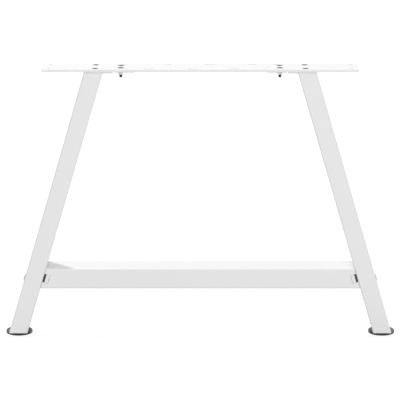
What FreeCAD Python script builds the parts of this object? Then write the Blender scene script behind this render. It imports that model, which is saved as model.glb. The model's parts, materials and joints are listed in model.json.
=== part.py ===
import FreeCAD, Part
import os
from math import radians

import Sketcher
from FreeCAD import Placement, Rotation, Vector

# Trestle table leg: an A-shaped steel frame on two levelling feet.
# +X runs along the frame's width, +Y along its depth and +Z up; the origin is on the floor, midway
# between the feet. Pieces of the right side are drawn, and the left ones are their mirror images.

SIZES = [
    ("frame_height", 720.0),
    ("plate_length", 820.0),
    ("plate_depth", 90.0),
    ("plate_thickness", 6.0),
    ("plate_corner", 5.0),
    ("end_hole_inset", 20.0),
    ("end_hole_width", 9.0),
    ("hole_row_gap", 50.0),
    ("slot_length", 25.0),
    ("slot_width", 9.0),
    ("slot_row_gap", 60.0),
    ("slot_pitch", 110.0),
    ("slot_stagger", 23.5),
    ("outer_slot_offset", 3.0),
    ("tube_width", 47.0),
    ("tube_depth", 80.0),
    ("tube_corner", 4.0),
    ("tube_wall", 1.5),
    ("leg_tilt", 16.4),
    ("leg_inset", 133.3),
    ("flange_thickness", 5.0),
    ("flange_shoulder", 50.7),
    ("flange_rim", 1.0),
    ("tongue_length", 55.0),
    ("tongue_depth", 50.0),
    ("tongue_corner", 4.0),
    ("relief_width", 3.0),
    ("relief_depth", 6.0),
    ("leg_bolt_offset", 4.7),
    ("tongue_bolt_offset", 20.0),
    ("tongue_bolt_gap", 30.0),
    ("top_bolt_length", 25.0),
    ("bolt_width", 8.0),
    ("bolt_head", 16.6),
    ("bolt_sink", 0.2),
    ("bolt_key", 5.0),
    ("bolt_key_depth", 3.0),
    ("bolt_play", 0.5),
    ("nut_width", 13.0),
    ("nut_height", 6.5),
    ("thread_play", 0.05),
    ("head_play", 0.1),
    ("stretcher_height", 55.0),
    ("stretcher_level", 158.8),
    ("end_plate_thickness", 5.0),
    ("window_width", 15.3),
    ("window_height", 23.3),
    ("window_rise", 2.4),
    ("cover_play", 0.8),
    ("cover_plate_play", 0.3),
    ("cover_lip", 2.0),
    ("cover_lip_thickness", 1.0),
    ("cross_bolt_gap", 44.0),
    ("cross_bolt_length", 16.0),
    ("plug_level", 152.0),
    ("plug_width", 19.0),
    ("plug_height", 2.7),
    ("plug_hole", 14.0),
    ("plug_neck_play", 0.15),
    ("plug_barb", 0.5),
    ("plug_depth", 7.0),
    ("plug_wall_play", 0.1),
    ("plug_dome", 2.5),
    ("sole_thickness", 4.0),
    ("pad_width", 70.0),
    ("pad_height", 7.0),
    ("pad_floor", 2.0),
    ("pad_edge_round", 1.5),
    ("foot_gap", 1.5),
    ("stud_width", 10.0),
    ("stud_length", 28.0),
    ("stud_head_width", 18.0),
    ("stud_head_height", 3.0),
    ("stud_head_play", 0.3),
    ("stud_collar_width", 16.0),
    ("stud_collar_play", 0.3),
    ("stud_hole_play", 0.5),
    ("stud_nut_width", 17.0),
    ("stud_nut_height", 8.0),
]

doc = FreeCAD.newDocument("trestle_leg")
sheet = doc.addObject("Spreadsheet::Sheet", "Sizes")
for row, (name, size) in enumerate(SIZES, start=1):
    sheet.set(f"A{row}", name)
    sheet.set(f"B{row}", str(size))
    sheet.setAlias(f"B{row}", name)
doc.recompute()

# Expressions that several pieces share. The reaches are distances from the middle plane.
TILT = "(Sizes.leg_tilt * 1 deg)"
LEG_REACH = "(Sizes.plate_length / 2 - Sizes.leg_inset)"
LEG_BOLT = f"({LEG_REACH} - Sizes.leg_bolt_offset)"
SHOULDER = f"({LEG_REACH} - Sizes.flange_shoulder)"
TONGUE_BOLT = f"({SHOULDER} - Sizes.tongue_bolt_offset)"
TONGUE_END = f"({SHOULDER} - Sizes.tongue_length)"
OUTER_SLOT = f"({TONGUE_BOLT} - Sizes.outer_slot_offset)"
LEG_TOP = "(Sizes.frame_height - Sizes.plate_thickness - Sizes.flange_thickness)"
SOLE = "(Sizes.pad_height + Sizes.foot_gap)"
LEG_FOOT = f"({SOLE} + Sizes.sole_thickness)"
HALF_FACE = f"(Sizes.tube_width / 2 / cos({TILT}))"


def leg_axis(height):
    """Expression for the leg axis's distance from the middle plane, at a height above the floor."""
    return f"({LEG_REACH} + ({LEG_TOP} - {height}) * tan({TILT}))"


# Places of the top bolts: distance from the middle plane, and gap between front and back.
TOP_BOLTS = ((LEG_BOLT, "Sizes.hole_row_gap"), (TONGUE_BOLT, "Sizes.tongue_bolt_gap"))
BOLT_HOLE = "(Sizes.bolt_width + 2 * Sizes.bolt_play)"
BOLT_SEAT = "(Sizes.bolt_head + 2 * (Sizes.head_play + Sizes.bolt_sink))"
INNER_FACE = f"({leg_axis('Sizes.stretcher_level')} - {HALF_FACE})"
OUTER_FACE = f"({leg_axis('Sizes.plug_level')} + {HALF_FACE})"
FOOT_REACH = leg_axis(SOLE)


def value(expression):
    """The number that an expression gives with the sizes of the sheet."""
    result = sheet.evalExpression(expression)
    return float(getattr(result, "Value", result))


def new_body(label):
    """An empty body with its own label."""
    body = doc.addObject("PartDesign::Body", label)
    body.Label = label
    return body


def place(item, x="0", y="0", z="0"):
    """Binds where a piece stands."""
    for axis, expression in zip("xyz", (x, y, z)):
        item.setExpression(f"Placement.Base.{axis}", expression)


def tip_over(item, angle):
    """Turns a piece about the depth direction by an angle bound to the sheet."""
    item.Placement.Rotation = Rotation(Vector(0, 1, 0), 30)
    item.setExpression("Placement.Rotation.Angle", angle)


def new_sketch(body, role, height="0", tilt=None):
    """A sketch on one of the body's own origin planes, raised or tipped about its first axis."""
    sketch = body.newObject("Sketcher::SketchObject", f"{body.Name}_sketch")
    plane = [f for f in body.Origin.OriginFeatures if f.Role == role][0]
    sketch.AttachmentSupport = [(plane, "")]
    sketch.MapMode = "FlatFace"
    sketch.setExpression("AttachmentOffset.Base.z", height)
    if tilt:
        sketch.AttachmentOffset = Placement(Vector(), Rotation(Vector(1, 0, 0), -30))
        sketch.setExpression("AttachmentOffset.Rotation.Angle", tilt)
    return sketch


def pin_point(sketch, geometry, end, x, y):
    """Binds a point of a sketch to coordinates given as expressions."""
    for kind, expression in (("DistanceX", x), ("DistanceY", y)):
        number = sketch.addConstraint(
            Sketcher.Constraint(kind, -1, 1, geometry, end, value(expression))
        )
        sketch.setExpression(f"Constraints[{number}]", expression)


def pin_size(sketch, kind, geometry, expression):
    """Binds a radius or a diameter of a sketch."""
    number = sketch.addConstraint(Sketcher.Constraint(kind, geometry, value(expression)))
    sketch.setExpression(f"Constraints[{number}]", expression)


def add_polygon(sketch, corners):
    """A closed outline through corners given as pairs of expressions."""
    points = [Vector(value(x), value(y), 0) for x, y in corners]
    first = sketch.GeometryCount
    for start, end in zip(points, points[1:] + points[:1]):
        sketch.addGeometry(Part.LineSegment(start, end), False)
    count = len(points)
    for index in range(count):
        following = first + (index + 1) % count
        sketch.addConstraint(Sketcher.Constraint("Coincident", first + index, 2, following, 1))
    for index, (x, y) in enumerate(corners):
        pin_point(sketch, first + index, 1, x, y)


def add_circle(sketch, x, y, diameter):
    """A hole's circle."""
    circle = Part.Circle(Vector(value(x), value(y), 0), Vector(0, 0, 1), value(diameter) / 2)
    number = sketch.addGeometry(circle, False)
    pin_point(sketch, number, 3, x, y)
    pin_size(sketch, "Diameter", number, diameter)


def join_arcs(sketch, first, count):
    """Joins arcs of one radius in turn with straight lines that run on from them."""
    for index in range(count):
        arc, following = first + index, first + (index + 1) % count
        start, end = sketch.getPoint(arc, 2), sketch.getPoint(following, 1)
        line = sketch.addGeometry(Part.LineSegment(start, end), False)
        sketch.addConstraint(Sketcher.Constraint("Tangent", arc, 2, line, 1))
        sketch.addConstraint(Sketcher.Constraint("Tangent", line, 2, following, 1))
        if index:
            sketch.addConstraint(Sketcher.Constraint("Equal", first, arc))


def add_rounded_box(sketch, width, depth, radius, x="0", y="0"):
    """A rectangle with round corners about a centre."""
    half_w, half_d, r = value(width) / 2, value(depth) / 2, value(radius)
    centre_x, centre_y = value(x), value(y)
    first = sketch.GeometryCount
    turns = [(1, -1, 270), (1, 1, 0), (-1, 1, 90), (-1, -1, 180)]
    for side_x, side_y, start in turns:
        middle = Vector(centre_x + side_x * (half_w - r), centre_y + side_y * (half_d - r), 0)
        circle = Part.Circle(middle, Vector(0, 0, 1), r)
        arc = Part.ArcOfCircle(circle, *(radians(start + turn) for turn in (0, 90)))
        sketch.addGeometry(arc, False)
    join_arcs(sketch, first, len(turns))
    for arc, (side_x, side_y, _) in enumerate(turns, start=first):
        pin_point(
            sketch,
            arc,
            3,
            f"{x} + {side_x} * ({width} / 2 - {radius})",
            f"{y} + {side_y} * ({depth} / 2 - {radius})",
        )
    pin_size(sketch, "Radius", first, radius)


def add_slot(sketch, x, y, length, width):
    """An oblong hole along the first axis."""
    reach = f"({length} - {width}) / 2"
    first = sketch.GeometryCount
    for side, start in ((1, -90), (-1, 90)):
        middle = Vector(value(f"{x} + {side} * {reach}"), value(y), 0)
        circle = Part.Circle(middle, Vector(0, 0, 1), value(width) / 2)
        sketch.addGeometry(
            Part.ArcOfCircle(circle, *(radians(start + turn) for turn in (0, 180))), False
        )
    join_arcs(sketch, first, 2)
    for index, side in ((0, 1), (1, -1)):
        pin_point(sketch, first + index, 3, f"{x} + {side} * {reach}", y)
    pin_size(sketch, "Diameter", first, width)


def pad(body, sketch, length, direction=None, symmetric=False, reverse=False):
    """Adds material from a sketch, straight or along a direction given as expressions."""
    feature = body.newObject("PartDesign::Pad", f"{body.Name}_pad")
    feature.Profile = sketch
    feature.setExpression("Length", length)
    feature.SideType = "Symmetric" if symmetric else "One side"
    feature.Reversed = reverse
    if direction:
        feature.UseCustomVector = True
        feature.AlongSketchNormal = True
        for axis, expression in zip("xyz", direction):
            feature.setExpression(f"Direction.{axis}", expression)
    return feature


def pocket(body, sketch, length, symmetric=False, reverse=False):
    """Cuts a sketch out, and stops if that takes nothing away."""
    doc.recompute()
    before = body.Shape.Volume
    feature = body.newObject("PartDesign::Pocket", f"{body.Name}_pocket")
    feature.Profile = sketch
    feature.setExpression("Length", length)
    feature.SideType = "Symmetric" if symmetric else "One side"
    feature.Reversed = reverse
    doc.recompute()
    if not body.Shape.Volume < before:
        raise RuntimeError(f"{feature.Label} cuts nothing")
    return feature


def sink_seats(body, sketch, reverse=False):
    """Drills countersunk bolt holes at a sketch's circles, and stops if that takes nothing away."""
    doc.recompute()
    before = body.Shape.Volume
    hole = body.newObject("PartDesign::Hole", f"{body.Name}_seats")
    hole.Profile = sketch
    doc.recompute()
    hole.ThreadType = "None"
    hole.DepthType = "ThroughAll"
    hole.HoleCutType = "Countersink"
    hole.HoleCutCustomValues = True
    hole.HoleCutCountersinkAngle = 90
    hole.Reversed = reverse
    hole.setExpression("Diameter", BOLT_HOLE)
    hole.setExpression("HoleCutDiameter", BOLT_SEAT)
    doc.recompute()
    if not body.Shape.Volume < before:
        raise RuntimeError(f"{hole.Label} cuts nothing")


def revolve(body, sketch):
    """Turns a sketch once round its upright axis."""
    feature = body.newObject("PartDesign::Revolution", f"{body.Name}_turned")
    feature.Profile = sketch
    feature.ReferenceAxis = (sketch, ["V_Axis"])
    feature.Angle = 360
    return feature


def edges_where(shape, test):
    """Names of a shape's edges that pass a test."""
    return [f"Edge{n}" for n, edge in enumerate(shape.Edges, start=1) if test(edge)]


def soften(body, kind, base, size, test):
    """Rounds or bevels the edges that pass a test."""
    doc.recompute()
    names = edges_where(base.Shape, test)
    if not names:
        raise RuntimeError(f"no edge of {body.Label} is there to soften")
    feature = body.newObject(f"PartDesign::{kind}", f"{body.Name}_{kind.lower()}")
    feature.Base = (base, names)
    feature.setExpression("Radius" if kind == "Fillet" else "Size", size)
    return feature


def mirrored(label, source, normal):
    """A piece's mirror image in a plane through the origin."""
    image = doc.addObject("Part::Mirroring", label)
    image.Label = label
    image.Source = source
    image.Normal = normal
    return image


def grouped(label, items):
    """Several like pieces under one name."""
    group = doc.addObject("Part::Compound", label)
    group.Label = label
    group.Links = items
    return group


ACROSS = Vector(1, 0, 0)
ALONG = Vector(0, 1, 0)


def in_pairs(label, source):
    """Like pieces front and back, and on both legs, as one group."""
    front_and_back = [source, mirrored(f"{source.Name}_front", source, ALONG)]
    rows = grouped(f"{label}_right", front_and_back)
    return grouped(label, [rows, mirrored(f"{label}_left", rows, ACROSS)])


def hexagon(width):
    """Corners of a hexagon, given its width across flats, with two corners on the first axis."""
    far = f"{width} / sqrt(3)"
    near = f"{width} / sqrt(3) / 2"
    half = f"{width} / 2"
    return [
        (far, "0"),
        (near, half),
        (f"-{near}", half),
        (f"-{far}", "0"),
        (f"-{near}", f"-{half}"),
        (near, f"-{half}"),
    ]


def make_top_plate():
    """Flat bar with round corners, bolt holes for the frame and holes and slots for the tabletop."""
    body = new_body("top_plate")
    place(body, z="Sizes.frame_height - Sizes.plate_thickness")
    outline = new_sketch(body, "XY_Plane")
    add_rounded_box(outline, "Sizes.plate_length", "Sizes.plate_depth", "Sizes.plate_corner")
    pad(body, outline, "Sizes.plate_thickness")
    holes = new_sketch(body, "XY_Plane")
    end = "(Sizes.plate_length / 2 - Sizes.end_hole_inset)"
    for side in (1, -1):
        for row in (1, -1):
            add_circle(
                holes, f"{side} * {end}", f"{row} * Sizes.hole_row_gap / 2", "Sizes.end_hole_width"
            )
            add_slot(
                holes,
                f"{side} * {OUTER_SLOT}",
                f"{row} * Sizes.slot_row_gap / 2",
                "Sizes.slot_length",
                "Sizes.slot_width",
            )
        for step in (-1, 0, 1):
            add_slot(
                holes,
                f"{side} * (Sizes.slot_stagger + {step} * Sizes.slot_pitch)",
                f"{side} * Sizes.slot_row_gap / 2",
                "Sizes.slot_length",
                "Sizes.slot_width",
            )
    pocket(body, holes, "Sizes.plate_thickness", reverse=True)
    seats = new_sketch(body, "XY_Plane", height="Sizes.plate_thickness")
    for side in (1, -1):
        for row in (1, -1):
            for reach, gap in TOP_BOLTS:
                add_circle(seats, f"{side} * {reach}", f"{row} * {gap} / 2", BOLT_HOLE)
    sink_seats(body, seats)
    return body


def make_leg_tube():
    """Leaning rectangular tube with level ends, two bolt holes inside and a plugged hole outside."""
    body = new_body("right_leg_tube")
    place(body, x=leg_axis(LEG_FOOT), z=LEG_FOOT)
    section = new_sketch(body, "XY_Plane")
    for inset in ("0", "Sizes.tube_wall"):
        add_rounded_box(
            section,
            f"((Sizes.tube_width - 2 * {inset}) / cos({TILT}))",
            f"(Sizes.tube_depth - 2 * {inset})",
            f"(Sizes.tube_corner - {inset})",
        )
    pad(body, section, f"{LEG_TOP} - {LEG_FOOT}", direction=(f"-sin({TILT})", "0", f"cos({TILT})"))
    half = f"Sizes.tube_width / 2 * sin({TILT})"
    bolt_way = f"(Sizes.stretcher_level - {LEG_FOOT} + {half}) / cos({TILT})"
    plug_way = f"(Sizes.plug_level - {LEG_FOOT} - {half}) / cos({TILT})"
    bolts = new_sketch(body, "YZ_Plane", tilt=f"-{TILT}")
    for row in (1, -1):
        add_circle(bolts, f"{row} * Sizes.cross_bolt_gap / 2", bolt_way, BOLT_HOLE)
    pocket(body, bolts, "Sizes.tube_width")
    plug = new_sketch(body, "YZ_Plane", tilt=f"-{TILT}")
    add_circle(plug, "0", plug_way, "Sizes.plug_hole")
    pocket(body, plug, "Sizes.tube_width", reverse=True)
    return body


def make_head_flange():
    """Plate on the leg's head, with a narrower tongue that is bolted under the top plate."""
    body = new_body("right_head_flange")
    place(body, z=LEG_TOP)
    outline = new_sketch(body, "XY_Plane")
    rim = f"({LEG_REACH} + {HALF_FACE} + Sizes.flange_rim)"
    wide, narrow = "Sizes.tube_depth / 2", "Sizes.tongue_depth / 2"
    slit = f"({SHOULDER} - Sizes.relief_width)"
    floor = f"({narrow} - Sizes.relief_depth)"
    upper = [(SHOULDER, wide), (SHOULDER, floor), (slit, floor), (slit, narrow), (TONGUE_END, narrow)]
    lower = [(x, f"-{y}") for x, y in reversed(upper)]
    add_polygon(outline, [(rim, f"-{wide}"), (rim, wide)] + upper + lower)
    slab = pad(body, outline, "Sizes.flange_thickness")
    tongue = value(TONGUE_END)
    soften(
        body,
        "Fillet",
        slab,
        "Sizes.tongue_corner",
        lambda edge: all(abs(v.X - tongue) < 0.01 for v in edge.Vertexes)
        and abs(edge.Vertexes[0].Y - edge.Vertexes[-1].Y) < 0.01,
    )
    holes = new_sketch(body, "XY_Plane")
    for row in (1, -1):
        for reach, gap in TOP_BOLTS:
            add_circle(holes, reach, f"{row} * {gap} / 2", BOLT_HOLE)
    pocket(body, holes, "Sizes.flange_thickness", reverse=True)
    return body


def leaning_corners(half, near, far, side=1):
    """Corners of a box beside the leg's inner face, square to it and centred on the window.

    It reaches half its height to each way along the face, and from near to far off the face.
    """
    corners = []
    for along, off in ((f"-{half}", near), (half, near), (half, far), (f"-{half}", far)):
        reach = f"{INNER_FACE} - Sizes.window_rise * tan({TILT})"
        reach += f" - ({along}) * sin({TILT}) - ({off}) * cos({TILT})"
        rise = f"Sizes.window_rise + ({along}) * cos({TILT}) - ({off}) * sin({TILT})"
        corners.append((f"{side} * ({reach})", rise))
    return corners


def make_stretcher_tube():
    """Level rectangular tube, mitred to the legs, with a window near each end at front and back."""
    body = new_body("stretcher_tube")
    place(body, z="Sizes.stretcher_level")
    section = new_sketch(body, "YZ_Plane")
    for inset in ("0", "Sizes.tube_wall"):
        add_rounded_box(
            section,
            f"(Sizes.tube_depth - 2 * {inset})",
            f"(Sizes.stretcher_height - 2 * {inset})",
            f"(Sizes.tube_corner - {inset})",
        )
    over = "Sizes.stretcher_height"
    spread = f"({INNER_FACE} + {over} * tan({TILT}))"
    pad(body, section, f"2 * {spread}", symmetric=True)
    ends = new_sketch(body, "XZ_Plane")
    windows = new_sketch(body, "XZ_Plane")
    for side in (1, -1):
        add_polygon(
            ends,
            [
                (f"{side} * {spread}", f"-{over}"),
                (f"{side} * ({spread} + {over})", f"-{over}"),
                (f"{side} * ({spread} + {over})", over),
                (f"{side} * ({INNER_FACE} - {over} * tan({TILT}))", over),
            ],
        )
        half = "(Sizes.window_height / 2)"
        add_polygon(windows, leaning_corners(half, "0", "Sizes.window_width", side))
    pocket(body, ends, "2 * Sizes.tube_depth", symmetric=True)
    pocket(body, windows, "2 * Sizes.tube_depth", symmetric=True)
    return body


def make_window_covers():
    """Caps that close the windows up to the end plates, each with a lip inside the tube."""
    body = new_body("window_cover")
    place(body, z="Sizes.stretcher_level")
    inside = "(Sizes.tube_depth / 2 - Sizes.tube_wall)"
    near = "(Sizes.end_plate_thickness + Sizes.cover_plate_play)"
    face = new_sketch(body, "XZ_Plane", height=inside)
    half = "(Sizes.window_height / 2 - Sizes.cover_play)"
    add_polygon(face, leaning_corners(half, near, "(Sizes.window_width - Sizes.cover_play)"))
    pad(body, face, "Sizes.tube_wall")
    lip = new_sketch(body, "XZ_Plane", height=inside)
    half = "(Sizes.window_height / 2 + Sizes.cover_lip)"
    add_polygon(lip, leaning_corners(half, near, "(Sizes.window_width + Sizes.cover_lip)"))
    pad(body, lip, "Sizes.cover_lip_thickness", reverse=True)
    return in_pairs("window_covers", body)


def make_end_plate():
    """Plate welded into the stretcher's end, parallel to the leg's face, with two bolt seats."""
    body = new_body("right_end_plate")
    place(body, x=INNER_FACE, z="Sizes.stretcher_level")
    outline = new_sketch(body, "YZ_Plane", tilt=f"-{TILT}")
    add_rounded_box(
        outline,
        "(Sizes.tube_depth - 2 * Sizes.tube_wall)",
        f"((Sizes.stretcher_height - 2 * Sizes.tube_wall) / cos({TILT}))",
        "Sizes.tube_corner",
    )
    pad(body, outline, "Sizes.end_plate_thickness", direction=("-1", "0", "0"))
    back = f"(Sizes.end_plate_thickness / cos({TILT}))"
    seats = new_sketch(body, "YZ_Plane", height=f"-{back}", tilt=f"-{TILT}")
    for row in (1, -1):
        add_circle(seats, f"{row} * Sizes.cross_bolt_gap / 2", f"-{back} * sin({TILT})", BOLT_HOLE)
    sink_seats(body, seats, reverse=True)
    return body


def make_countersunk_bolt(label, length):
    """Countersunk bolt pointing down, with a hexagonal key recess in its head."""
    body = new_body(label)
    profile = new_sketch(body, "XZ_Plane")
    head, shank = "Sizes.bolt_head / 2", "Sizes.bolt_width / 2"
    end = f"({length} - Sizes.bolt_sink)"
    add_polygon(
        profile,
        [
            ("0", "0"),
            (head, "0"),
            (shank, f"-({head} - {shank})"),
            (shank, f"-{end}"),
            ("0", f"-{end}"),
        ],
    )
    revolve(body, profile)
    key = new_sketch(body, "XY_Plane")
    add_polygon(key, hexagon("Sizes.bolt_key"))
    pocket(body, key, "Sizes.bolt_key_depth")
    return body


def make_top_bolts(label, reach, gap):
    """Bolts that hold the top plate on the head flanges, their heads just under its face."""
    body = make_countersunk_bolt(label, "Sizes.top_bolt_length")
    place(body, x=reach, y=f"{gap} / 2", z="Sizes.frame_height - Sizes.bolt_sink")
    return in_pairs(f"{label}s", body)


def make_nut(label, width, height, bore):
    """Hexagonal nut standing on its lower face."""
    body = new_body(label)
    outline = new_sketch(body, "XY_Plane")
    add_polygon(outline, hexagon(width))
    add_circle(outline, "0", "0", bore)
    pad(body, outline, height)
    return body


def make_bolt_nut(label):
    """Nut for a countersunk bolt."""
    bore = "Sizes.bolt_width + 2 * Sizes.thread_play"
    return make_nut(label, "Sizes.nut_width", "Sizes.nut_height", bore)


def make_top_nuts(label, reach, gap):
    """Nuts under the head flanges."""
    body = make_bolt_nut(label)
    place(body, x=reach, y=f"{gap} / 2", z=f"{LEG_TOP} - Sizes.nut_height")
    return in_pairs(f"{label}s", body)


def set_on_inner_face(body, distance, angle):
    """Stands a piece at a stretcher bolt, at a distance into the leg from its inner face."""
    place(
        body,
        x=f"{INNER_FACE} + {distance} * cos({TILT})",
        y="Sizes.cross_bolt_gap / 2",
        z=f"Sizes.stretcher_level + {distance} * sin({TILT})",
    )
    tip_over(body, angle)


def make_cross_bolts():
    """Bolts that hold the stretcher's end plates to the legs."""
    body = make_countersunk_bolt("stretcher_bolt", "Sizes.cross_bolt_length")
    head = "(Sizes.bolt_sink - Sizes.end_plate_thickness)"
    set_on_inner_face(body, head, f"-(90 deg + {TILT})")
    return in_pairs("stretcher_bolts", body)


def make_cross_nuts():
    """Weld nuts inside the legs for the stretcher bolts."""
    body = make_bolt_nut("stretcher_weld_nut")
    set_on_inner_face(body, "Sizes.tube_wall", f"90 deg - {TILT}")
    return in_pairs("stretcher_weld_nuts", body)


def make_leg_plug():
    """Domed plastic plug pressed into the hole in the leg's outer face."""
    body = new_body("right_leg_plug")
    place(body, x=OUTER_FACE, z="Sizes.plug_level")
    tip_over(body, f"90 deg - {TILT}")
    neck, barb = "(Sizes.plug_hole / 2 - Sizes.plug_neck_play)", "(Sizes.plug_hole / 2 + Sizes.plug_barb)"
    catch = "-(Sizes.tube_wall + Sizes.plug_wall_play)"
    profile = new_sketch(body, "XZ_Plane")
    add_polygon(
        profile,
        [
            ("0", "Sizes.plug_height"),
            ("Sizes.plug_width / 2 - Sizes.plug_dome", "Sizes.plug_height"),
            ("Sizes.plug_width / 2", "0"),
            (neck, "0"),
            (neck, catch),
            (barb, catch),
            (neck, "-Sizes.plug_depth"),
            ("0", "-Sizes.plug_depth"),
        ],
    )
    revolve(body, profile)
    return body


def make_sole_plate():
    """Plate that closes the leg's lower end, with the hole for the foot's stud."""
    body = new_body("right_sole_plate")
    place(body, x=FOOT_REACH, z=SOLE)
    outline = new_sketch(body, "XY_Plane")
    add_rounded_box(
        outline, f"(Sizes.tube_width / cos({TILT}))", "Sizes.tube_depth", "Sizes.tube_corner"
    )
    pad(body, outline, "Sizes.sole_thickness", direction=(f"-sin({TILT})", "0", f"cos({TILT})"))
    hole = new_sketch(body, "XY_Plane")
    add_circle(hole, "0", "0", "Sizes.stud_width + 2 * Sizes.stud_hole_play")
    pocket(body, hole, "Sizes.sole_thickness", reverse=True)
    return body


def make_stud_nut():
    """Weld nut on the sole plate."""
    body = make_nut(
        "right_foot_nut",
        "Sizes.stud_nut_width",
        "Sizes.stud_nut_height",
        "Sizes.stud_width + 2 * Sizes.thread_play",
    )
    place(body, x=FOOT_REACH, z=LEG_FOOT)
    return body


def make_foot_stud():
    """Threaded stud with a round head in the pad and a collar that stops under the sole plate."""
    body = new_body("right_foot_stud")
    place(body, x=FOOT_REACH)
    shank, head = "Sizes.stud_width / 2", "Sizes.stud_head_width / 2"
    collar = "Sizes.stud_collar_width / 2"
    base = "(Sizes.pad_floor + Sizes.stud_head_play)"
    under = "(Sizes.pad_height + Sizes.stud_collar_play)"
    tip = f"({SOLE} + Sizes.stud_length)"
    profile = new_sketch(body, "XZ_Plane")
    add_polygon(
        profile,
        [
            ("0", base),
            (head, base),
            (head, f"{base} + Sizes.stud_head_height - Sizes.stud_head_play"),
            (shank, f"{base} + Sizes.stud_head_height - Sizes.stud_head_play"),
            (shank, under),
            (collar, under),
            (collar, SOLE),
            (shank, SOLE),
            (shank, tip),
            ("0", tip),
        ],
    )
    revolve(body, profile)
    return body


def make_foot_pad():
    """Round plastic pad, closed over the stud's head."""
    body = new_body("right_foot_pad")
    place(body, x=FOOT_REACH)
    edge = "Sizes.pad_width / 2"
    cave = "(Sizes.stud_head_width / 2 + Sizes.stud_head_play)"
    mouth = "(Sizes.stud_width / 2 + Sizes.stud_head_play)"
    roof = "(Sizes.pad_floor + Sizes.stud_head_height + Sizes.stud_head_play)"
    profile = new_sketch(body, "XZ_Plane")
    add_polygon(
        profile,
        [
            ("0", "0"),
            (edge, "0"),
            (edge, "Sizes.pad_height - Sizes.pad_edge_round"),
            (f"{edge} - Sizes.pad_edge_round", "Sizes.pad_height"),
            (mouth, "Sizes.pad_height"),
            (mouth, roof),
            (cave, roof),
            (cave, "Sizes.pad_floor"),
            ("0", "Sizes.pad_floor"),
        ],
    )
    revolve(body, profile)
    return body


def on_both_legs(piece):
    """A right-hand piece and its left-hand mirror image."""
    return [piece, mirrored(piece.Label.replace("right", "left"), piece, ACROSS)]


pieces = [make_top_plate(), make_stretcher_tube()]
for make in (
    make_leg_tube,
    make_head_flange,
    make_end_plate,
    make_leg_plug,
    make_sole_plate,
    make_stud_nut,
    make_foot_stud,
    make_foot_pad,
):
    pieces += on_both_legs(make())
for place_name, (reach, gap) in zip(("leg", "tongue"), TOP_BOLTS):
    pieces.append(make_top_bolts(f"{place_name}_bolt", reach, gap))
    pieces.append(make_top_nuts(f"{place_name}_nut", reach, gap))
pieces += [make_cross_bolts(), make_cross_nuts(), make_window_covers()]

doc.recompute()
for item in doc.Objects:
    if "Invalid" in item.State or "Error" in item.State:
        raise RuntimeError(f"{item.Label} did not compute: {item.State}")
for piece in pieces:
    if piece.Shape.isNull() or not piece.Shape.isValid():
        raise RuntimeError(f"{piece.Label} has no valid shape")

os.makedirs("parts", exist_ok=True)
for piece in pieces:
    piece.Shape.exportStep(f"parts/{piece.Label}.step")
    box = piece.Shape.BoundBox
    print(piece.Label, len(piece.Shape.Solids), [round(v, 1) for v in (box.XLength, box.YLength, box.ZLength)])
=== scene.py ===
"""Studio scene of a white steel trestle table leg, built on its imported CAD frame."""

import json
import logging
from dataclasses import dataclass
from enum import Enum
from math import cos, pi, radians, tan
from typing import Callable, Iterable, Sequence

import bpy
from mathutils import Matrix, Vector


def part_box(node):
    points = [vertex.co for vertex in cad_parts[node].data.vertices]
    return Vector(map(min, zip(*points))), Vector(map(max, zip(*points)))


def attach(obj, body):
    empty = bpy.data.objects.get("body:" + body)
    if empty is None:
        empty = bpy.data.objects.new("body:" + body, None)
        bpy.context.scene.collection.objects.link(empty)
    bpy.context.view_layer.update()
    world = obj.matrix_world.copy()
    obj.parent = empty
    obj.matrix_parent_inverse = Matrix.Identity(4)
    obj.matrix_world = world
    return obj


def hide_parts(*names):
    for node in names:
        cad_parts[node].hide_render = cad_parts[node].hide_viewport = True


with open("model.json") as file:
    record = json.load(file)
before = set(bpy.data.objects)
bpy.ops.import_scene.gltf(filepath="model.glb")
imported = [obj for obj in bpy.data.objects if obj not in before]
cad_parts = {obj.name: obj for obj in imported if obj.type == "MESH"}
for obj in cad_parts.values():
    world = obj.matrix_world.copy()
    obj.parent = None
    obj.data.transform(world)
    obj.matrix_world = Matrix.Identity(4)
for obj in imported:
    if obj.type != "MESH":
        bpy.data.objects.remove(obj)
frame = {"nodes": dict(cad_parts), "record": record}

LOG = logging.getLogger("trestle")
MM = 0.001
# How far a cutter reaches past what it cuts.
SPARE = 1.0 * MM
# Places that are closer together than this count as the same.
SLIGHT = 0.01 * MM
WHITE = (1.0, 1.0, 1.0, 1.0)

Piece = bpy.types.Object
Point = tuple[float, float, float]
Rings = Sequence[tuple[float, float]]
Test = Callable[[Vector], bool]


class Side(Enum):
    """The two legs of the frame, by the sign of their X."""

    LEFT = -1
    RIGHT = 1

    @property
    def label(self) -> str:
        """Name of the side as the CAD nodes write it."""
        return self.name.lower()


class Part(Enum):
    """Bodies of the part, as its behaviour names them."""

    FRAME = "frame"
    LEFT_FOOT = "left_foot"
    LEFT_SCREW = "left_foot_screw"
    RIGHT_FOOT = "right_foot"
    RIGHT_SCREW = "right_foot_screw"


class Pick(Enum):
    """What is selected of a mesh."""

    CORNERS = "VERT"
    EDGES = "EDGE"
    FACES = "FACE"


class Axis(Enum):
    """The frame's axes, by their place in a vector."""

    X = 0
    Y = 1
    Z = 2


def anywhere(place: Vector) -> bool:
    """A test that every place passes."""
    return True


def runs_along(axis: Axis, least: float = 0.9) -> Test:
    """A test for edges that run along an axis, or faces that are square to it."""
    return lambda way: abs(way[axis.value]) > least


def four_places(x: float, y: float) -> list[Point]:
    """The places at plus and minus an X and a Y, from left to right."""
    return [(side * x, row * y, 0.0) for side in (-1, 1) for row in (-1, 1)]


def in_mm(rings: Rings) -> Rings:
    """Turns a profile that is written in millimetres into metres."""
    return [(radius * MM, height * MM) for radius, height in rings]


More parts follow.
